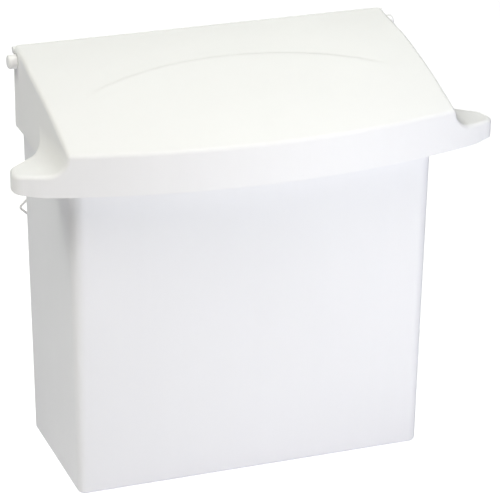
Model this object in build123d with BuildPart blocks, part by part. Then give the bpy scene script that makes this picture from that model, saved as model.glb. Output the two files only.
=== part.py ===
from build123d import *
from math import sqrt
import os

# Wall-hung waste receptacle: a drafted tub, a sloping hinged lid whose bow-fronted lip runs out
# into two lifting ears, a removable rigid liner, two hinge pins and a spring-wire wall hanger.
# Frame: +Z up, front faces -Y, the wall face is the plane y = REAR_Y, x = 0 is the middle.
# "out" below means the distance forward from the wall face.

# Overall
OVERALL_WIDTH = 317.5
OVERALL_HEIGHT = 274.0
OVERALL_DEPTH = 147.0
REAR_Y = OVERALL_DEPTH / 2

# How far a cutting shape runs past the surface it cuts
CUT_PAST = 10.0

# Tub
TUB_HALF_BOTTOM = 117.95
TUB_DEPTH_BOTTOM = 106.0
SIDE_DRAFT = 0.0143
FRONT_DRAFT = 0.0265
TUB_WALL = 2.5
TUB_REAR_TOP = 254.0
TUB_FRONT_TOP = 233.0
TUB_FORM_TOP = 267.0
FRONT_CORNER_R_BOTTOM = 5.5
FRONT_CORNER_R_TOP = 10.0
REAR_CORNER_R = 4.0
REAR_TRIM = 0.5
BOTTOM_EDGE_R = 2.5
FOOT_RIM = 12.0
FOOT_RECESS = 0.8
BEAD_OUT = 1.4
BEAD_HEIGHT = 4.0
SIDE_TOP = 263.0
SIDE_TOP_REAR = 261.0

# Recess in the tub's back, with the clips and screw holes in it
RECESS_DEPTH = 3.2
RECESS_HALF = 106.0
RECESS_BOTTOM = 22.0
RECESS_TOP = 240.0
SCREW_SPACING = 152.4
SCREW_HEIGHT = 190.0
SCREW_HOLE_R = 2.75

# Hinge
HINGE_OUT = 11.0
HINGE_HEIGHT = 265.0
PIN_SHANK_R = 2.5
PIN_HEAD_R = 4.7
PIN_END = 132.4
PIN_INNER_END = 115.0
PIN_HEAD_START = 126.7
PIN_HEAD_EDGE_R = 1.8
PIN_RUNNING_GAP = 0.05
LUG_R = 4.5
LUG_HALF_OUTER = 123.6
LUG_REAR = 9.2
LUG_FRONT = 15.5
LUG_NECK = 262.0
LUG_ROOT = 253.0

# Lid
LID_HALF = 126.4
LID_WALL = 2.4
LID_REAR = 2.0
LID_CURL_R = 5.0
ROLL_R = 2.2
ROLL_OUT = 5.1
ROLL_HEIGHT = 270.9
ROLL_END = 127.2
HOOD_SECTIONS = 7
EAR_ROOT = 12.0
LIP_BOTTOM = 215.5
FOLD_HEIGHT = 242.0
FOLD_INSET = 1.04
FACE_OVERRUN = 4.0
OVERRUN_DROP = 1.5
BOW_R = 458.0
PANEL_SAG = 4.2
CHEEK_BOTTOM = 219.5
CHEEK_CORNER_R = 4.0
CHEEK_CUT_END = 62.0
EAR_TOP = 229.5
EAR_BACK_START = 64.0
EAR_ROOT_FLARE = (3.4, 13.0)
EAR_ROOT_TIGHTNESS = 0.3
EAR_SHOULDER = (13.0, 24.0)
EAR_TIP_FORWARD = 37.5
EAR_TIP_TAPER = 3.6
EAR_TIP_OVERRUN = 1.3
EAR_LIFT_START = 134.0
EAR_LIFT_R = 160.0
EAR_LIFT_TURN = 8.0
EAR_LIFT_CORNER_R = 4.0
SCOOP_R = 12.5
EAR_FRONT_CORNER_R = 8.0
EAR_REAR_CORNER_R = 9.0
EDGE_R = 2.8

# Liner
LINER_WALL = 1.8
LINER_HALF_BOTTOM = 109.5
LINER_HALF_TOP = 113.5
LINER_REAR = 9.0
LINER_FRONT_BOTTOM = 98.5
LINER_FRONT_TOP = 104.2
LINER_BOTTOM = 2.7
LINER_TOP = 207.0
LINER_CORNER_R = 8.0
LINER_FLANGE = 2.6
LINER_SKIRT = 6.0

# Hanger wire
WIRE_R = 0.75
WIRE_OUT = 1.7
WIRE_MIDDLE = 161.3
WIRE_TIP = 124.9
WIRE_BEND = 117.5
WIRE_HALF_HEIGHT = 6.9
WIRE_BEND_R = 1.8
CLIP_WIDTH = 8.0
CLIP_HEIGHT = 5.0
CLIP_GAP = 0.03
CLIP_REAR = 0.6
CLIP_ROOT = 1.0
CLIP_SNAP = 0.2
CLIP_PLACES = (-84.0, -36.0, 36.0, 84.0)
NOTCH_DEPTH = 2.75
NOTCH_HALF_HEIGHT = 9.0


def at(out, height):
    """Point of a side view: y from the distance out, and z."""
    return (REAR_Y - out, height)


def bow_y(x, inset=0.0):
    """y of the lip's bowed face at x, moved in by the inset."""
    centre_y = REAR_Y - OVERALL_DEPTH + BOW_R
    return centre_y - sqrt((BOW_R - inset) ** 2 - x * x)


def bow(x):
    """How far out the lip's face stands at x."""
    return REAR_Y - bow_y(x)


def drafted_block(levels):
    """Block lofted between levels of (height, half width, rear out, front out, front and rear radius)."""
    with BuildPart() as block:
        for height, half, rear, front, front_r, rear_r in levels:
            with BuildSketch(Plane.XY.offset(height)) as outline:
                with Locations((0, REAR_Y - (front + rear) / 2)):
                    Rectangle(2 * half, front - rear)
                fillet(outline.vertices().group_by(Axis.Y)[0], front_r)
                fillet(outline.vertices().group_by(Axis.Y)[-1], rear_r)
        loft(ruled=True)
    return block.part


def tub_form(inset, floor, rear):
    """The tub's drafted outline moved in by the inset, from the floor up."""
    corner_growth = (FRONT_CORNER_R_TOP - FRONT_CORNER_R_BOTTOM) / TUB_FORM_TOP
    levels = []
    for height in (floor, TUB_FORM_TOP):
        half = TUB_HALF_BOTTOM + SIDE_DRAFT * height - inset
        front = TUB_DEPTH_BOTTOM + FRONT_DRAFT * height - inset
        front_r = FRONT_CORNER_R_BOTTOM + corner_growth * height - inset
        levels.append((height, half, rear, front, front_r, max(REAR_CORNER_R - inset, 1)))
    return drafted_block(levels)


def liner_form(inset, floor, top):
    """The liner's drafted outline moved in by the inset, between two heights."""
    levels = []
    for height in (floor, top):
        share = (height - LINER_BOTTOM) / (LINER_TOP - LINER_BOTTOM)
        half = LINER_HALF_BOTTOM + (LINER_HALF_TOP - LINER_HALF_BOTTOM) * share - inset
        front = LINER_FRONT_BOTTOM + (LINER_FRONT_TOP - LINER_FRONT_BOTTOM) * share - inset
        corner_r = LINER_CORNER_R - inset
        levels.append((height, half, LINER_REAR + inset, front, corner_r, corner_r))
    return drafted_block(levels)


def side_prism(points, half):
    """Side view outline, given as distances out and heights, extruded across the middle."""
    with BuildPart() as prism:
        with BuildSketch(Plane.YZ.offset(-half)):
            with BuildLine():
                Polyline(*[at(out, height) for out, height in points], close=True)
            make_face()
        extrude(amount=2 * half)
    return prism.part


def mirrored_pair(part):
    """The part on the right and its mirror image on the left."""
    with BuildPart() as pair:
        add(part)
        mirror(about=Plane.YZ)
    return pair.part


# ---------------------------------------------------------------- receptacle_body
# The loft runs past the wall face, and the side view trims it to a true plane.
tub_outside = tub_form(0, 0, -REAR_TRIM)
tub_inside = tub_form(TUB_WALL, TUB_WALL, RECESS_DEPTH + TUB_WALL)
bead_outside = tub_form(-BEAD_OUT, 0, 0)
tub_side_view = side_prism(
    [
        (0, -CUT_PAST),
        (0, TUB_REAR_TOP),
        (LUG_REAR, TUB_REAR_TOP),
        (LUG_REAR, SIDE_TOP_REAR),
        (LUG_FRONT, SIDE_TOP),
        (TUB_DEPTH_BOTTOM, TUB_FRONT_TOP),
        (OVERALL_DEPTH, TUB_FRONT_TOP),
        (OVERALL_DEPTH, -CUT_PAST),
    ],
    OVERALL_WIDTH / 2,
)
bead_side_view = side_prism(
    [
        (LUG_FRONT, SIDE_TOP),
        (TUB_DEPTH_BOTTOM, TUB_FRONT_TOP),
        (OVERALL_DEPTH, TUB_FRONT_TOP),
        (OVERALL_DEPTH, TUB_FRONT_TOP - BEAD_HEIGHT),
        (TUB_DEPTH_BOTTOM, TUB_FRONT_TOP - BEAD_HEIGHT),
        (LUG_FRONT, SIDE_TOP - BEAD_HEIGHT),
    ],
    OVERALL_WIDTH / 2,
)

with BuildPart() as rim_bead:
    add(bead_outside)
    add(bead_side_view, mode=Mode.INTERSECT)

with BuildPart() as right_lug:
    with BuildSketch(Plane.YZ.offset(PIN_INNER_END)):
        with Locations(at(HINGE_OUT, HINGE_HEIGHT)):
            Circle(LUG_R)
        with BuildLine():
            Polyline(
                at(LUG_REAR, LUG_ROOT),
                at(LUG_REAR, LUG_NECK),
                at(HINGE_OUT, HINGE_HEIGHT),
                at(LUG_FRONT, HINGE_HEIGHT),
                at(LUG_FRONT, LUG_ROOT),
                close=True,
            )
        make_face()
    extrude(amount=LUG_HALF_OUTER - PIN_INNER_END)
    with BuildSketch(Plane.YZ.offset(PIN_INNER_END)):
        with Locations(at(HINGE_OUT, HINGE_HEIGHT)):
            Circle(PIN_SHANK_R)
    extrude(amount=LUG_HALF_OUTER - PIN_INNER_END, mode=Mode.SUBTRACT)
lugs = mirrored_pair(right_lug.part)

with BuildPart() as wire_clips:
    clip_front = RECESS_DEPTH + CLIP_ROOT
    clip_y = REAR_Y - (CLIP_REAR + clip_front) / 2
    for row in (-1, 1):
        height = WIRE_MIDDLE + row * WIRE_HALF_HEIGHT
        with Locations([(x, clip_y, height) for x in CLIP_PLACES]):
            Box(CLIP_WIDTH, clip_front - CLIP_REAR, CLIP_HEIGHT)
    for row in (-1, 1):
        height = WIRE_MIDDLE + row * WIRE_HALF_HEIGHT
        with BuildSketch(Plane.YZ.offset(-RECESS_HALF)):
            with Locations(at(WIRE_OUT, height)):
                Circle(WIRE_R + CLIP_GAP)
            with Locations(at(WIRE_OUT / 2, height)):
                Rectangle(WIRE_OUT, 2 * WIRE_R - CLIP_SNAP)
        extrude(amount=2 * RECESS_HALF, mode=Mode.SUBTRACT)

with BuildPart() as receptacle_body:
    add(tub_outside)
    bottom_edges = receptacle_body.faces().sort_by(Axis.Z)[0].edges()
    fillet(bottom_edges, BOTTOM_EDGE_R)
    add(tub_side_view, mode=Mode.INTERSECT)
    add(rim_bead.part)
    add(tub_inside, mode=Mode.SUBTRACT)
    add(lugs)
    recess_height = RECESS_TOP - RECESS_BOTTOM
    with Locations((0, REAR_Y - RECESS_DEPTH / 2, RECESS_BOTTOM + recess_height / 2)):
        Box(2 * RECESS_HALF, RECESS_DEPTH, recess_height, mode=Mode.SUBTRACT)
    with Locations((0, REAR_Y - NOTCH_DEPTH / 2, WIRE_MIDDLE)):
        Box(OVERALL_WIDTH, NOTCH_DEPTH, 2 * NOTCH_HALF_HEIGHT, mode=Mode.SUBTRACT)
    add(wire_clips.part)
    with Locations((0, REAR_Y - TUB_DEPTH_BOTTOM / 2, FOOT_RECESS / 2)):
        foot_width = 2 * (TUB_HALF_BOTTOM - FOOT_RIM)
        Box(foot_width, TUB_DEPTH_BOTTOM - 2 * FOOT_RIM, FOOT_RECESS, mode=Mode.SUBTRACT)
    with BuildSketch(Plane.XZ.offset(-REAR_Y)):
        with GridLocations(SCREW_SPACING, 0, 2, 1):
            with Locations((0, SCREW_HEIGHT)):
                Circle(SCREW_HOLE_R)
    extrude(amount=RECESS_DEPTH + 2 * TUB_WALL, mode=Mode.SUBTRACT)


# ---------------------------------------------------------------- lid
def hood_form(inset, floor):
    """Sloping hood, lofted across from side to side, its outside moved in by the inset."""
    half = LID_HALF - inset
    rear = LID_REAR + inset
    curl = LID_REAR + LID_CURL_R
    rear_top = OVERALL_HEIGHT - inset
    fold = FOLD_HEIGHT - FOLD_INSET * inset
    with BuildPart() as form:
        for i in range(HOOD_SECTIONS):
            x = half * (2 * i / (HOOD_SECTIONS - 1) - 1)
            front = bow(x) + FACE_OVERRUN
            slope = (fold - rear_top) / (bow(x) - curl)
            with BuildSketch(Plane.YZ.offset(x)):
                with BuildLine():
                    top = ThreePointArc(
                        at(curl, rear_top),
                        at((bow(x) + curl) / 2, (fold + rear_top) / 2 + PANEL_SAG),
                        at(front, fold + OVERRUN_DROP * FACE_OVERRUN * slope),
                    )
                    rear_curl = TangentArc(
                        top @ 0, at(rear, OVERALL_HEIGHT - LID_CURL_R), tangent=-(top % 0)
                    )
                    Polyline(rear_curl @ 1, at(rear, floor), at(front, floor), top @ 1)
                make_face()
        loft()
        # The face of the lip is bowed in plan.
        with BuildSketch(Plane.XY.offset(floor)):
            with BuildLine():
                face = bow_line(half, inset)
                Polyline(face @ 1, (half, REAR_Y), (-half, REAR_Y), face @ 0)
            make_face()
        extrude(amount=OVERALL_HEIGHT, mode=Mode.INTERSECT)
    return form.part


def bow_line(half, inset):
    """Arc of the lip's face between plus and minus half, moved in by the inset."""
    return ThreePointArc(
        (-half, bow_y(half, inset)),
        (0, bow_y(0, inset)),
        (half, bow_y(half, inset)),
    )


def ear_form(inset, floor):
    """Right ear with its hollow scoop, from the lid's side out to the tip."""
    top = EAR_TOP - inset
    half = LID_HALF - inset
    # The sharp corner lies past the overall width, and rounding brings it back.
    tip = OVERALL_WIDTH / 2 + EAR_TIP_OVERRUN - inset
    back_y = REAR_Y - EAR_BACK_START - inset
    tip_rear = (tip - EAR_TIP_TAPER, back_y - EAR_TIP_FORWARD)
    with BuildPart() as form:
        with BuildSketch(Plane.XZ.offset(-REAR_Y)):
            with BuildLine():
                scoop = JernArc((half + SCOOP_R, top), (-1, 0), SCOOP_R, -90)
                Polyline(
                    scoop @ 1,
                    (half - EAR_ROOT, top + SCOOP_R),
                    (half - EAR_ROOT, floor),
                    (tip + CUT_PAST, floor),
                    (tip + CUT_PAST, top),
                    scoop @ 0,
                )
            make_face()
        extrude(amount=OVERALL_DEPTH + CUT_PAST)
        with BuildSketch(Plane.XY.offset(floor)) as plan:
            with BuildLine():
                front = bow_line(tip, inset)
                shoulder = Polyline(
                    front @ 1,
                    tip_rear,
                    (half + EAR_SHOULDER[0], back_y - EAR_SHOULDER[1]),
                )
                back = Spline(
                    shoulder @ 1,
                    (half + EAR_ROOT_FLARE[0], back_y - EAR_ROOT_FLARE[1]),
                    (half, back_y),
                    tangents=(shoulder % 1, (0, 1)),
                    tangent_scalars=(1, EAR_ROOT_TIGHTNESS),
                )
                Polyline(back @ 1, (-tip, back_y), front @ 0)
            make_face()
            fillet(plan.vertices().sort_by_distance(shoulder @ 0)[0], EAR_FRONT_CORNER_R - inset)
            fillet(plan.vertices().sort_by_distance(tip_rear)[0], EAR_REAR_CORNER_R - inset)
        extrude(amount=OVERALL_HEIGHT, mode=Mode.INTERSECT)
    return form.part


def below_ear():
    """What is cut away under the right ear, so that its lower edge lifts towards the tip."""
    with BuildPart() as cut:
        with BuildSketch(Plane.XZ.offset(-REAR_Y)):
            with BuildLine():
                lift = JernArc((EAR_LIFT_START, LIP_BOTTOM), (1, 0), EAR_LIFT_R, EAR_LIFT_TURN)
                corner = JernArc(lift @ 1, lift % 1, EAR_LIFT_CORNER_R, 90 - EAR_LIFT_TURN)
                Polyline(
                    corner @ 1,
                    (OVERALL_WIDTH / 2 + CUT_PAST, (corner @ 1).Y),
                    (OVERALL_WIDTH / 2 + CUT_PAST, LIP_BOTTOM - CUT_PAST),
                    (EAR_LIFT_START, LIP_BOTTOM - CUT_PAST),
                    lift @ 0,
                )
            make_face()
        extrude(amount=OVERALL_DEPTH + CUT_PAST)
    return cut.part


def lid_form(inset, floor):
    """Hood and both ears as one solid block, moved in by the inset, from the floor up."""
    with BuildPart() as form:
        add(hood_form(inset, floor))
        add(mirrored_pair(ear_form(inset, floor)))
    return form.part


def on_cheek(edge):
    """Whether the edge lies in the outer plane of one of the lid's sides."""
    return abs(abs((edge @ 0.5).X) - LID_HALF) < 0.01


with BuildPart() as lid:
    add(lid_form(0, LIP_BOTTOM))
    # One rounded edge runs round the panel, down the scoops and round the ears.
    sides = lid.edges().filter_by(on_cheek).filter_by(lambda e: (e @ 0.5).Z > EAR_TOP + SCOOP_R)
    rears = lid.edges().filter_by(on_cheek).filter_by(lambda e: (e @ 0.5).Y > REAR_Y - 2 * LID_REAR)
    fold = lid.edges().filter_by(lambda e: abs((e @ 0.5).X) < 1).sort_by(Axis.Y)
    fold = fold.filter_by(lambda e: (e @ 0.5).Z > EAR_TOP)[0:1]
    ear_tops = lid.edges().filter_by(
        lambda e: abs((e @ 0.5).X) > LID_HALF + 1 and EAR_TOP - 1 < (e @ 0.5).Z < EAR_TOP + SCOOP_R
    )
    ear_tops = ear_tops.filter_by(lambda e: abs((e % 0.5).Y) < 0.999)
    fillet(sides + rears + fold + ear_tops, EDGE_R)
    add(lid_form(LID_WALL, LIP_BOTTOM - CUT_PAST), mode=Mode.SUBTRACT)
    # The rear is open below the curl, and the sides end above the lip's bottom.
    curl_bottom = OVERALL_HEIGHT - LID_CURL_R
    curl_front = LID_REAR + 2 * LID_WALL
    rear_opening = [(-CUT_PAST, 0), (-CUT_PAST, curl_bottom), (curl_front, curl_bottom), (curl_front, 0)]
    add(side_prism(rear_opening, LID_HALF - LID_WALL), mode=Mode.SUBTRACT)
    with BuildSketch(Plane.YZ.offset(-LID_HALF - CUT_PAST)):
        with BuildLine():
            corner = JernArc(at(LID_REAR, CHEEK_BOTTOM + CHEEK_CORNER_R), (0, -1), CHEEK_CORNER_R, -90)
            Polyline(
                corner @ 0,
                at(-CUT_PAST, CHEEK_BOTTOM + CHEEK_CORNER_R),
                at(-CUT_PAST, 0),
                at(CHEEK_CUT_END, 0),
                at(CHEEK_CUT_END, LIP_BOTTOM),
                at(CHEEK_CUT_END - CHEEK_CORNER_R, CHEEK_BOTTOM),
                corner @ 1,
            )
        make_face()
    extrude(amount=2 * (LID_HALF + CUT_PAST), mode=Mode.SUBTRACT)
    with BuildSketch(Plane.YZ.offset(-LID_HALF - CUT_PAST)):
        with Locations(at(HINGE_OUT, HINGE_HEIGHT)):
            Circle(PIN_SHANK_R + PIN_RUNNING_GAP)
    extrude(amount=2 * (LID_HALF + CUT_PAST), mode=Mode.SUBTRACT)
    add(mirrored_pair(below_ear()), mode=Mode.SUBTRACT)
    # The rear edge is rolled, and the roll's ends stand a little proud of the sides.
    with BuildSketch(Plane.YZ.offset(-ROLL_END)):
        with Locations(at(ROLL_OUT, ROLL_HEIGHT)):
            Circle(ROLL_R)
    extrude(amount=2 * ROLL_END)


# ---------------------------------------------------------------- hinge pins
with BuildPart() as hinge_pin_right:
    with BuildSketch(Plane.YZ.offset(PIN_INNER_END)):
        with Locations(at(HINGE_OUT, HINGE_HEIGHT)):
            Circle(PIN_SHANK_R)
    extrude(amount=PIN_HEAD_START - PIN_INNER_END)
    with BuildSketch(Plane.YZ.offset(PIN_HEAD_START)):
        with Locations(at(HINGE_OUT, HINGE_HEIGHT)):
            Circle(PIN_HEAD_R)
    extrude(amount=PIN_END - PIN_HEAD_START)
    fillet(hinge_pin_right.edges().sort_by(Axis.X)[-1], PIN_HEAD_EDGE_R)

with BuildPart() as hinge_pin_left:
    add(hinge_pin_right.part)
    mirror(about=Plane.YZ, mode=Mode.REPLACE)


# ---------------------------------------------------------------- rigid_liner
with BuildPart() as rigid_liner:
    add(liner_form(-LINER_FLANGE, LINER_TOP - LINER_SKIRT, LINER_TOP))
    add(liner_form(LINER_WALL - LINER_FLANGE, LINER_BOTTOM, LINER_TOP - LINER_WALL), mode=Mode.SUBTRACT)
    add(liner_form(0, LINER_BOTTOM, LINER_TOP))
    foot = rigid_liner.faces().sort_by(Axis.Z)[0]
    fillet(foot.edges(), LINER_WALL)
    add(liner_form(LINER_WALL, LINER_BOTTOM + LINER_WALL, LINER_TOP), mode=Mode.SUBTRACT)


# ---------------------------------------------------------------- wall_hanger_wire
wire_bends = [
    (-WIRE_TIP, 0),
    (-WIRE_BEND, WIRE_HALF_HEIGHT),
    (WIRE_BEND, WIRE_HALF_HEIGHT),
    (WIRE_TIP, 0),
    (WIRE_BEND, -WIRE_HALF_HEIGHT),
    (-WIRE_BEND, -WIRE_HALF_HEIGHT),
]
with BuildPart() as wall_hanger_wire:
    with BuildLine(Plane((0, REAR_Y - WIRE_OUT, WIRE_MIDDLE), x_dir=(1, 0, 0), z_dir=(0, -1, 0))):
        loop = FilletPolyline(*wire_bends, radius=WIRE_BEND_R, close=True)
    with BuildSketch(Plane(loop @ 0, z_dir=loop % 0)):
        Circle(WIRE_R)
    sweep(path=loop)


os.makedirs("parts", exist_ok=True)

receptacle_body.part.label = "receptacle_body"
export_step(receptacle_body.part, "parts/receptacle_body.step")

lid.part.label = "lid"
export_step(lid.part, "parts/lid.step")

hinge_pin_left.part.label = "hinge_pin_left"
export_step(hinge_pin_left.part, "parts/hinge_pin_left.step")

hinge_pin_right.part.label = "hinge_pin_right"
export_step(hinge_pin_right.part, "parts/hinge_pin_right.step")

rigid_liner.part.label = "rigid_liner"
export_step(rigid_liner.part, "parts/rigid_liner.step")

wall_hanger_wire.part.label = "wall_hanger_wire"
export_step(wall_hanger_wire.part, "parts/wall_hanger_wire.step")
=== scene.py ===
import math

import bmesh
import bpy
from mathutils import Matrix, Vector
from mathutils.bvhtree import BVHTree
from mathutils.geometry import barycentric_transform


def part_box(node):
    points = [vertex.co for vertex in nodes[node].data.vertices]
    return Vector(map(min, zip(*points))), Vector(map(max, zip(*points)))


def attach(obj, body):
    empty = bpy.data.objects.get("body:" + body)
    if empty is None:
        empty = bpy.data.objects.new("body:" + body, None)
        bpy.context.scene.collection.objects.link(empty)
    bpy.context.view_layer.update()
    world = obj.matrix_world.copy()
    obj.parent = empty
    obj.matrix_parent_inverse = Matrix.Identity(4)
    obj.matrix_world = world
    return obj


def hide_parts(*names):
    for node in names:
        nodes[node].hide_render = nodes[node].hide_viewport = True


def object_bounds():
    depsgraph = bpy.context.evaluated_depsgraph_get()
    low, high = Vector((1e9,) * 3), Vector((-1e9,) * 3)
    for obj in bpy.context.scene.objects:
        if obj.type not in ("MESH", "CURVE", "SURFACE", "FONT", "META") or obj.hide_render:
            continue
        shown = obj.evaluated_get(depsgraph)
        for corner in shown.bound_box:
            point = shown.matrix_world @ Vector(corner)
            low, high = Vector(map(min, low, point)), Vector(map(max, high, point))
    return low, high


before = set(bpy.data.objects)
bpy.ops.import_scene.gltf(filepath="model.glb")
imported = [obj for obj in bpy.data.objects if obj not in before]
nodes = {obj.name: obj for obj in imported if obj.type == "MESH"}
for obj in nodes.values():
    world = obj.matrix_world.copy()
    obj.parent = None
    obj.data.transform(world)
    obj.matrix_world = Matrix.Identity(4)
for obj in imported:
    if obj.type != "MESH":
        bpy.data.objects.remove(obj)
cad_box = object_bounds()
scene = bpy.context.scene

# ------------------------------------------------------------------ sizes taken from the imported model's bounds
LOW, HIGH = cad_box
CENTRE = (LOW + HIGH) / 2
WALL_Y = HIGH.y

# ------------------------------------------------------------------ camera
CAMERA_AZIMUTH = math.radians(-20.157)
CAMERA_ELEVATION = math.radians(22.563)
CAMERA_ROLL = math.radians(0.392)
CAMERA_DISTANCE = 1.717
CAMERA_LENS = 188.6
CAMERA_SENSOR = 36.0
CAMERA_NEAREST = 0.05
CAMERA_FARTHEST = 50
CAMERA_AIM = Vector((0.01463, 0.0135, 0.13511))


def add_camera():
    """The camera looks down on the bin from its front left."""
    flat = math.cos(CAMERA_ELEVATION)
    back = Vector(
        (math.sin(CAMERA_AZIMUTH) * flat, -math.cos(CAMERA_AZIMUTH) * flat, math.sin(CAMERA_ELEVATION))
    )
    right = (-back).cross(Vector((0, 0, 1))).normalized()
    up = right.cross(-back)
    turned_right = right * math.cos(CAMERA_ROLL) + up * math.sin(CAMERA_ROLL)
    turned_up = up * math.cos(CAMERA_ROLL) - right * math.sin(CAMERA_ROLL)
    data = bpy.data.cameras.new("camera")
    data.lens = CAMERA_LENS
    data.sensor_width = CAMERA_SENSOR
    camera = bpy.data.objects.new("camera", data)
    scene.collection.objects.link(camera)
    turn = Matrix((turned_right, turned_up, back)).transposed().to_4x4()
    camera.matrix_world = Matrix.Translation(CAMERA_AIM + back * CAMERA_DISTANCE) @ turn
    data.clip_start = CAMERA_NEAREST
    data.clip_end = CAMERA_FARTHEST
    scene.camera = camera


# ------------------------------------------------------------------ node helpers
# A colour mix's sockets go by number, because its names are shared with the other kinds of mix.
MIX_FIRST = 6
MIX_SECOND = 7
MIX_RESULT = 2


class Nodes:
    """A short way to write a material's node tree."""

    def __init__(self, name):
        self.material = bpy.data.materials.new(name)
        self.material.use_nodes = True
        self.tree = self.material.node_tree
        self.shader = self.tree.nodes["Principled BSDF"]

    def add(self, kind, **settings):
        node = self.tree.nodes.new(kind)
        for key, value in settings.items():
            setattr(node, key, value)
        return node

    def link(self, source, target):
        self.tree.links.new(source, target)

    def place(self, scale):
        """Object coordinates, stretched."""
        where = self.add("ShaderNodeTexCoord")
        stretch = self.add("ShaderNodeMapping")
        stretch.inputs["Scale"].default_value = scale
        self.link(where.outputs["Object"], stretch.inputs["Vector"])
        return stretch.outputs["Vector"]

    def noise(self, scale, detail, roughness=0.5, stretch=(1, 1, 1), distortion=0.0):
        """Noise from 0 to 1 with a mean of a half."""
        made = self.add("ShaderNodeTexNoise")
        made.inputs["Scale"].default_value = scale
        made.inputs["Detail"].default_value = detail
        made.inputs["Roughness"].default_value = roughness
        made.inputs["Distortion"].default_value = distortion
        self.link(self.place(stretch), made.inputs["Vector"])
        return made.outputs["Fac"]

    def range(self, value, low, high, new_low, new_high):
        """Maps low..high to new_low..new_high, clamped."""
        made = self.add("ShaderNodeMapRange")
        made.inputs["From Min"].default_value = low
        made.inputs["From Max"].default_value = high
        made.inputs["To Min"].default_value = new_low
        made.inputs["To Max"].default_value = new_high
        self.link(value, made.inputs["Value"])
        return made.outputs["Result"]

    def total(self, first, second):
        """The sum of two values."""
        made = self.add("ShaderNodeMath", operation="ADD")
        self.link(first, made.inputs[0])
        self.link(second, made.inputs[1])
        return made.outputs["Value"]

    def mix(self, share, first, second):
        """Colour between first and second; each is a socket or a colour."""
        made = self.add("ShaderNodeMix", data_type="RGBA")
        self.link(share, made.inputs["Factor"])
        for socket, value in ((made.inputs[MIX_FIRST], first), (made.inputs[MIX_SECOND], second)):
            if isinstance(value, tuple):
                socket.default_value = (*value, 1)
            else:
                self.link(value, socket)
        return made.outputs[MIX_RESULT]

    def bump(self, height, distance, below=None):
        """A bump of the given height in metres, on top of another."""
        made = self.add("ShaderNodeBump")
        made.inputs["Strength"].default_value = 1.0
        made.inputs["Distance"].default_value = distance
        self.link(height, made.inputs["Height"])
        if below is not None:
            self.link(below, made.inputs["Normal"])
        return made.outputs["Normal"]


def tint(colour, factor):
    """The colour made lighter or darker."""
    return tuple(channel * factor for channel in colour)


# ------------------------------------------------------------------ materials
PLASTIC_IOR = 1.51
PLASTIC_SCATTER = 0.04
PLASTIC_SCATTER_RADIUS = (0.004, 0.0038, 0.0036)
WIRE_DULL = (0.70, 0.70, 0.70)
WIRE_BRIGHT = (0.82, 0.82, 0.82)
WIRE_METALLIC = 0.10


def moulded_plastic(name, colour, rough, grain_size, grain_height, gloss):
    """White moulded polyethylene: grain from the mould, flow marks and faint mottling."""
    n = Nodes(name)
    # Colour: broad cloudiness, and flow streaks down from the top.
    cloud = n.range(n.noise(9, 4, 0.55), 0.3, 0.7, 0.0, 1.0)
    base = n.mix(cloud, tint(colour, 0.988), colour)
    streak = n.range(n.noise(60, 3, 0.6, (1, 1, 0.06), 0.4), 0.45, 0.75, 0.0, 0.3)
    base = n.mix(streak, base, tint(colour, 0.97))
    n.link(base, n.shader.inputs["Base Color"])
    # Roughness: smoother handled patches, and fine duller scuffs.
    patch = n.range(n.noise(26, 3), 0.3, 0.7, rough - 0.05, rough + 0.05)
    scuff = n.range(n.noise(300, 3, 0.7, (1, 0.25, 1), 1.5), 0.55, 0.80, 0.0, 0.08)
    n.link(n.total(patch, scuff), n.shader.inputs["Roughness"])
    # Relief: broad sink waves, finer flow ripples on them, then the mould's grain.
    wave = n.bump(n.noise(22, 2, 0.4, (1, 1, 0.35)), 0.00018)
    ripple = n.bump(n.noise(150, 2, 0.5, (1, 1, 0.12), 0.6), 0.00003, wave)
    grain = n.bump(n.noise(1 / grain_size, 2, 0.6), grain_height, ripple)
    n.link(grain, n.shader.inputs["Normal"])
    n.shader.inputs["IOR"].default_value = PLASTIC_IOR
    n.shader.inputs["Specular IOR Level"].default_value = gloss
    n.shader.inputs["Subsurface Weight"].default_value = PLASTIC_SCATTER
    n.shader.inputs["Subsurface Radius"].default_value = PLASTIC_SCATTER_RADIUS
    n.shader.inputs["Subsurface Scale"].default_value = 1.0
    return n.material


def drawn_wire(name):
    """Dull zinc-plated spring wire with drawing lines along it."""
    n = Nodes(name)
    dull = n.range(n.noise(400, 4), 0.35, 0.65, 0.0, 1.0)
    n.link(n.mix(dull, WIRE_DULL, WIRE_BRIGHT), n.shader.inputs["Base Color"])
    lines = n.noise(2500, 2, 0.6, (0.04, 1, 1))
    n.link(n.range(lines, 0.3, 0.7, 0.42, 0.58), n.shader.inputs["Roughness"])
    n.link(n.bump(lines, 0.00001), n.shader.inputs["Normal"])
    n.shader.inputs["Metallic"].default_value = WIRE_METALLIC
    return n.material


def dress(piece, material):
    """Gives a piece its one material."""
    piece.data.materials.clear()
    piece.data.materials.append(material)


TUB_WHITE = (0.868, 0.870, 0.882)
LID_WHITE = (0.87, 0.87, 0.87)
PIN_WHITE = (0.93, 0.93, 0.93)
LINER_WHITE = (0.74, 0.75, 0.76)

# Name, colour, roughness, the grain's size and height in metres, and gloss.
tub_plastic = moulded_plastic("tub_plastic", TUB_WHITE, 0.34, 0.0007, 0.000012, 0.45)
lid_plastic = moulded_plastic("lid_plastic", LID_WHITE, 0.50, 0.0008, 0.000050, 0.35)
pin_plastic = moulded_plastic("pin_plastic", PIN_WHITE, 0.30, 0.0006, 0.000008, 0.50)
liner_plastic = moulded_plastic("liner_plastic", LINER_WHITE, 0.45, 0.0007, 0.000020, 0.40)
wire_steel = drawn_wire("spring_wire")

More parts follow.
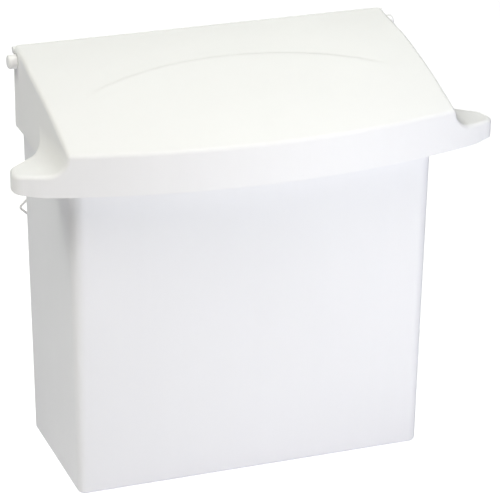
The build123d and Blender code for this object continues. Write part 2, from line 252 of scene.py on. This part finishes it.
dress(nodes["receptacle_body"], tub_plastic)
dress(nodes["lid"], lid_plastic)
dress(nodes["hinge_pin_left"], pin_plastic)
dress(nodes["hinge_pin_right"], pin_plastic)
dress(nodes["rigid_liner"], liner_plastic)
dress(nodes["wall_hanger_wire"], wire_steel)

# ------------------------------------------------------------------ lid with its moulded ledge
# In these names OUT is a distance from the wall and HALF a distance from the middle.
# A low curved ledge crosses the lid's panel, an arc in plan, and dies out towards the sides.
LEDGE_R = 0.1964
LEDGE_CENTRE_OUT = 0.2471
LEDGE_RISE = 0.00055
LEDGE_EDGE = 0.0010
LEDGE_FADE_FRONT = 0.034
LEDGE_FADE_REAR = 0.026
LEDGE_FULL_HALF = 0.084
LEDGE_END_HALF = 0.104
# Each ear's tip falls back towards the wall, more and more outwards, downwards and forwards.
TIP_FALL = 0.0008
TIP_START_HALF = 0.1450
TIP_FULL_HALF = 0.1510
TIP_TOP = 0.2284
TIP_LOW = 0.2165
TIP_REAR = -0.034
TIP_FRONT = -0.043
# The lid's sides spread a little towards the front, and its ears keep their tips.
SPREAD = 0.0011
SPREAD_START_OUT = 0.018
SPREAD_FULL_OUT = 0.050
SPREAD_START_HALF = 0.100
SPREAD_FULL_HALF = 0.122
SPREAD_FADE_HALF = 0.134
SPREAD_END_HALF = 0.156
# The faces to cut are told by where they are and by parts of their unit normal.
FOLD_RISE = 0.026
FOLD_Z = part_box("lid")[0].z + FOLD_RISE
PANEL_LEAST_UP = 0.85
TIP_MARGIN = 0.008
TIP_LEAST_FORWARD = 0.02
TIP_MOST_INWARD = 0.05
TIP_MOST_UP = 0.75
CHEEK_HALF = (0.1225, 0.1270)
CHEEK_LEAST_SIDEWAYS = 0.9
# Those faces are cut this finely.
CUT_PANEL_X = 0.004
CUT_PANEL_Y = 0.0008
CUT_PANEL_OUTS = (0.022, 0.116)
CUT_TIP = 0.001
CUTS_PAST_TIP = 6
CUT_CHEEK = 0.004
ON_PLANE = 1e-7
SAME_POINT = 1e-6
SLIVER = 2e-6
# A slope is measured this far each way, and a corner's normal is taken this share of the way
# into its face.
SLOPE_STEP = 0.0001
INTO_FACE = 0.05

X_AXIS = Vector((1, 0, 0))
Y_AXIS = Vector((0, 1, 0))
Z_AXIS = Vector((0, 0, 1))


def smooth_step(value):
    """0 below 0, 1 above 1, and a smooth rise between."""
    value = min(max(value, 0.0), 1.0)
    return value * value * (3 - 2 * value)


def ledge_height(at):
    """How far the shaped panel stands above the even one, along its normal."""
    past = math.hypot(at.x, LEDGE_CENTRE_OUT - (WALL_Y - at.y)) - LEDGE_R
    step = -LEDGE_RISE * math.tanh(past / LEDGE_EDGE)
    fade = 1 - smooth_step(past / LEDGE_FADE_REAR if past > 0 else -past / LEDGE_FADE_FRONT)
    sides = 1 - smooth_step((abs(at.x) - LEDGE_FULL_HALF) / (LEDGE_END_HALF - LEDGE_FULL_HALF))
    return step * fade * sides


def tip_depth(at):
    """How far the shaped ear tip stands behind the even one, towards the wall."""
    outwards = smooth_step((abs(at.x) - TIP_START_HALF) / (TIP_FULL_HALF - TIP_START_HALF))
    down = min(max((TIP_TOP - at.z) / (TIP_TOP - TIP_LOW), 0.0), 1.0)
    forwards = smooth_step((TIP_REAR - at.y) / (TIP_REAR - TIP_FRONT))
    return TIP_FALL * outwards * down * forwards


def side_spread(at):
    """How far the lid stands out sideways from the even one."""
    half = abs(at.x)
    inside = smooth_step((half - SPREAD_START_HALF) / (SPREAD_FULL_HALF - SPREAD_START_HALF))
    outside = 1 - smooth_step((half - SPREAD_FADE_HALF) / (SPREAD_END_HALF - SPREAD_FADE_HALF))
    forwards = smooth_step((WALL_Y - at.y - SPREAD_START_OUT) / (SPREAD_FULL_OUT - SPREAD_START_OUT))
    return SPREAD * inside * outside * forwards


def gradient(field, at):
    """How fast a field changes along x, y and z."""
    rise = []
    for axis in (X_AXIS, Y_AXIS, Z_AXIS):
        step = axis * SLOPE_STEP
        rise.append((field(at + step) - field(at - step)) / (2 * SLOPE_STEP))
    return Vector(rise)


def on_panel(face):
    """Whether a face is on the top of the sloping panel."""
    return face.normal.z > PANEL_LEAST_UP and face.calc_center_median().z > FOLD_Z


def on_tip(face):
    """Whether a face is on the front or the end of an ear."""
    middle = face.calc_center_median()
    if abs(middle.x) <= TIP_START_HALF - TIP_MARGIN or middle.y >= TIP_REAR:
        return False
    outwards = face.normal.x * math.copysign(1, middle.x)
    forwards = -face.normal.y
    upright = abs(face.normal.z) < TIP_MOST_UP
    return forwards > TIP_LEAST_FORWARD and outwards > -TIP_MOST_INWARD and upright


def on_cheek(face):
    """Whether a face is on either surface of one of the lid's sides."""
    near, far = CHEEK_HALF
    sideways = abs(face.normal.x) > CHEEK_LEAST_SIDEWAYS
    return sideways and all(near < abs(v.co.x) < far for v in face.verts)


def steps(start, end, step):
    """Even places from start to end."""
    count = round((end - start) / step)
    return [start + (end - start) * i / count for i in range(count + 1)]


def cut_finely(mesh, faces_wanted, normal, places):
    """Cuts the wanted faces along planes, and leaves the mesh closed."""
    for place in places:
        faces = [f for f in mesh.faces if faces_wanted(f)]
        parts = dict.fromkeys(faces)
        for face in faces:
            parts.update(dict.fromkeys(face.edges))
            parts.update(dict.fromkeys(face.verts))
        at = normal * place
        bmesh.ops.bisect_plane(mesh, geom=list(parts), dist=ON_PLANE, plane_co=at, plane_no=normal)


def cut_lid(mesh):
    """Cuts the panel, the ear tips and the cheeks finely, into triangles with no slivers."""
    cut_finely(mesh, on_panel, X_AXIS, steps(-LEDGE_END_HALF, LEDGE_END_HALF, CUT_PANEL_X))
    rear, front = CUT_PANEL_OUTS
    cut_finely(mesh, on_panel, Y_AXIS, steps(WALL_Y - front, WALL_Y - rear, CUT_PANEL_Y))
    tip_halves = steps(TIP_START_HALF, TIP_FULL_HALF + CUT_TIP * CUTS_PAST_TIP, CUT_TIP)
    for side in (-1, 1):
        cut_finely(mesh, on_tip, X_AXIS, [side * half for half in tip_halves])
    cut_finely(mesh, on_tip, Z_AXIS, steps(TIP_LOW, TIP_TOP, CUT_TIP))
    cheek_places = steps(WALL_Y - SPREAD_FULL_OUT, WALL_Y - SPREAD_START_OUT, CUT_CHEEK)
    cut_finely(mesh, on_cheek, Y_AXIS, cheek_places)
    bmesh.ops.triangulate(mesh, faces=mesh.faces)
    bmesh.ops.dissolve_degenerate(mesh, dist=SLIVER, edges=mesh.edges)
    bmesh.ops.triangulate(mesh, faces=mesh.faces)


def lid_moves(mesh):
    """For each point, the fields that move it, each with the way that it goes."""
    panel_verts = set(v for f in mesh.faces if on_panel(f) for v in f.verts)
    tip_verts = set(v for f in mesh.faces if on_tip(f) for v in f.verts)
    moves = {vert: [] for vert in mesh.verts}
    for vert, fields in moves.items():
        if vert in panel_verts:
            fields.append((ledge_height, vert.normal.copy()))
        if vert in tip_verts:
            fields.append((tip_depth, Y_AXIS))
        if abs(vert.co.x) > SPREAD_START_HALF:
            fields.append((side_spread, Vector((math.copysign(1, vert.co.x), 0, 0))))
    return moves


def leaning_normals(mesh, source, moves):
    """A normal for each corner, from the CAD surface, which leans where the points will move."""
    source.calc_loop_triangles()
    triangles = [tuple(t.vertices) for t in source.loop_triangles]
    corner_normals = [
        [source.corner_normals[i].vector.copy() for i in t.loops] for t in source.loop_triangles
    ]
    places = [v.co.copy() for v in source.vertices]
    tree = BVHTree.FromPolygons(places, triangles)
    normals = []
    for face in mesh.faces:
        middle = face.calc_center_median()
        for loop in face.loops:
            at = loop.vert.co
            spot, _, index, _ = tree.find_nearest(at.lerp(middle, INTO_FACE))
            a, b, c = (places[i] for i in triangles[index])
            normal = barycentric_transform(spot, a, b, c, *corner_normals[index]).normalized()
            for field, way in moves[loop.vert]:
                slope = gradient(field, at)
                normal = (normal - slope * (way.dot(normal) / (1 + slope.dot(way)))).normalized()
            normals.append(normal)
    return normals


def move_points(moves):
    """Moves each point by what its fields say where it starts."""
    for vert, fields in moves.items():
        start = vert.co.copy()
        for field, way in fields:
            vert.co += way * field(start)


def shaped_lid():
    """The CAD lid's mesh, cut finer and moved into its ledge, spread sides and ear tips."""
    source = nodes["lid"].data
    mesh = bmesh.new()
    mesh.from_mesh(source)
    bmesh.ops.remove_doubles(mesh, verts=mesh.verts, dist=SAME_POINT)
    cut_lid(mesh)
    moves = lid_moves(mesh)
    normals = leaning_normals(mesh, source, moves)
    move_points(moves)
    data = bpy.data.meshes.new("lid_shell")
    mesh.to_mesh(data)
    mesh.free()
    for polygon in data.polygons:
        polygon.use_smooth = True
    data.normals_split_custom_set(normals)
    piece = bpy.data.objects.new("lid_shell", data)
    scene.collection.objects.link(piece)
    dress(piece, lid_plastic)
    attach(piece, "lid")
    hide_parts("lid")


shaped_lid()


# ------------------------------------------------------------------ stage
FLOOR_SIZE = 12
FLOOR_GAP = 0.0002
FLOOR_WHITE = (0.90, 0.90, 0.90)
FLOOR_ROUGH = 0.9
FLOOR_GLOSS = 0.1
FLOOR_SEEN = (0.80, 0.80, 0.80)
FLOOR_GLOW = (0.102, 0.099, 0.155)
ROOM_SEEN = (1, 1, 1)
ROOM_GLOW = (0, 0, 0)
# Name, azimuth, elevation, distance, size, and power for red, green and blue.
LIGHTS = (
    ("top_near", 90, 75, 0.6, 0.35, (1.26, 1.30, 1.24)),
    ("top_left", -60, 55, 1.2, 0.6, (0.88, 0.67, 1.07)),
    ("top_far_left", -85, 55, 1.2, 0.6, (5.45, 5.75, 5.16)),
    ("top_front_left", -30, 55, 1.2, 0.6, (3.02, 2.82, 2.49)),
    ("left_low", -72, 4, 1.1, 0.6, (1.10, 1.10, 0.82)),
    ("key_close", 20, 10, 0.55, 0.3, (1.39, 1.40, 1.38)),
    ("key_right", 40, 15, 0.6, 0.25, (0.07, 0.09, 0.17)),
    ("behind", 180, 12, 1.4, 0.8, (2.2, 2.2, 2.2)),
)


def seen_and_cast(tree, seen, cast):
    """A colour that is one value to the camera and another to every other ray."""
    path = tree.nodes.new("ShaderNodeLightPath")
    made = tree.nodes.new("ShaderNodeMix")
    made.data_type = "RGBA"
    tree.links.new(path.outputs["Is Camera Ray"], made.inputs["Factor"])
    made.inputs[MIX_FIRST].default_value = (*cast, 1)
    made.inputs[MIX_SECOND].default_value = (*seen, 1)
    return made.outputs[MIX_RESULT]


def add_floor():
    """A plain white floor under the bin."""
    bpy.ops.mesh.primitive_plane_add(size=FLOOR_SIZE, location=(0, 0, LOW.z - FLOOR_GAP))
    floor = bpy.context.object
    floor.name = "floor"
    n = Nodes("floor_paint")
    n.shader.inputs["Base Color"].default_value = (*FLOOR_WHITE, 1)
    n.shader.inputs["Roughness"].default_value = FLOOR_ROUGH
    n.shader.inputs["Specular IOR Level"].default_value = FLOOR_GLOSS
    n.link(seen_and_cast(n.tree, FLOOR_SEEN, FLOOR_GLOW), n.shader.inputs["Emission Color"])
    n.shader.inputs["Emission Strength"].default_value = 1.0
    floor.data.materials.append(n.material)


def add_light(name, azimuth, elevation, distance, size, power):
    """A square soft box that looks at the bin; its power is given for red, green and blue."""
    strongest = max(power)
    data = bpy.data.lights.new(name, "AREA")
    data.size = size
    data.energy = strongest
    data.color = tuple(channel / strongest for channel in power)
    light = bpy.data.objects.new(name, data)
    scene.collection.objects.link(light)
    side, height = math.radians(azimuth), math.radians(elevation)
    flat = math.cos(height) * distance
    away = Vector((math.sin(side) * flat, -math.cos(side) * flat, math.sin(height) * distance))
    light.location = CENTRE + away
    light.rotation_mode = "QUATERNION"
    light.rotation_quaternion = (-away).to_track_quat("-Z", "Y")


def add_room():
    """A white backdrop that the camera sees and that lights nothing."""
    world = bpy.data.worlds.new("room")
    scene.world = world
    world.use_nodes = True
    glow = seen_and_cast(world.node_tree, ROOM_SEEN, ROOM_GLOW)
    world.node_tree.links.new(glow, world.node_tree.nodes["Background"].inputs["Color"])


def add_lights():
    """Mostly soft light from above and the left, with a close key in front and a light behind."""
    for light in LIGHTS:
        add_light(*light)


add_camera()
add_floor()
add_room()
add_lights()
scene.view_settings.view_transform = "Standard"
